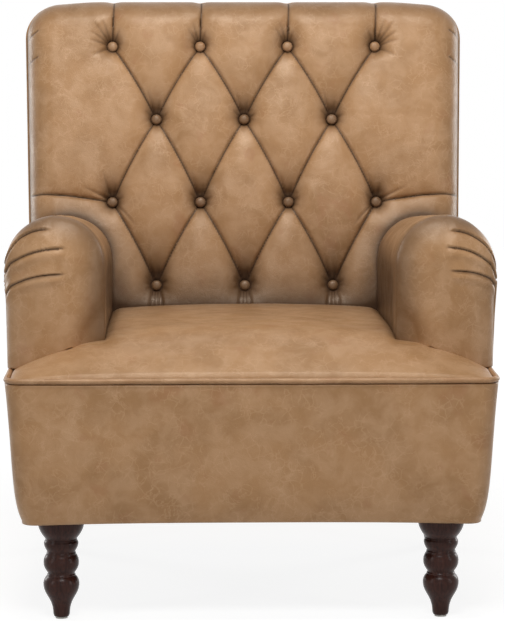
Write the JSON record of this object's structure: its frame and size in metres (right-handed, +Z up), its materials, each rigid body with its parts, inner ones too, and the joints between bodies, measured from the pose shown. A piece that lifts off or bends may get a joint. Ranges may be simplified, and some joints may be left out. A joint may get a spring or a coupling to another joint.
{
  "type": "accent chair",
  "caption": "Upholstered leather accent chair with a deep-buttoned raked back, rolled arms with pleated fronts, a tight tee seat and turned front legs.",
  "frame": {"origin": "on the floor, under the middle of the chair's box", "axes": "+Z up, -Y towards the sitter's front, +X to the right as seen from the front"},
  "size_m": [0.765, 0.8, 0.9565],
  "materials": {
    "timber": "planed",
    "steel": "zinc plated",
    "felt": "pressed felt",
    "foam": "polyurethane foam and fibre",
    "leather": "pull-up, soft sheen",
    "leather_trim": "pull-up, soft sheen",
    "webbing": "woven jute",
    "nylon": "moulded",
    "board": "fibreboard",
    "dust_cloth": "non-woven",
    "dark_wood": "dark stain, satin lacquer"
  },
  "bodies": {
    "root": {"front_rail": "timber", "rear_rail": "timber", "side_rail_left": "timber", "side_rail_right": "timber", "corner_blocks": "timber", "corner_block_screws": "steel", "back_post_left": "timber", "back_post_right": "timber", "back_top_rail": "timber", "back_lower_rail": "timber", "arm_posts_left": "timber", "arm_posts_right": "timber", "arm_top_board_left": "timber", "arm_top_board_right": "timber", "arm_liner_rail_left": "timber", "arm_liner_rail_right": "timber", "arm_facing_left": "timber", "arm_facing_right": "timber", "seat_springs": "steel", "spring_clips": "steel", "seat_deck": "felt", "seat_foam": "foam", "seat_cover": "leather", "seat_welt": "leather_trim", "front_border": "leather", "arm_foam_left": "foam", "arm_foam_right": "foam", "arm_cover_left": "leather", "arm_cover_right": "leather", "arm_pleated_front_left": "leather", "arm_pleated_front_right": "leather", "side_panel_left": "leather", "side_panel_right": "leather", "back_webbing_upright": "webbing", "back_webbing_cross": "webbing", "back_foam": "foam", "back_tufted_cover": "leather", "back_edge_foam": "foam", "back_border": "leather", "tuft_buttons": "leather_trim", "tuft_twines": "webbing", "tuft_washers": "nylon", "back_board": "board", "outer_back_panel": "leather", "back_welt": "leather_trim", "dust_cover": "dust_cloth", "front_leg_left": "dark_wood", "front_leg_right": "dark_wood", "rear_leg_left": "dark_wood", "rear_leg_right": "dark_wood", "leg_plates": "steel", "leg_plate_screws": "steel", "leg_bolts": "steel", "foot_glides": "nylon"}
  },
  "joints": []
}
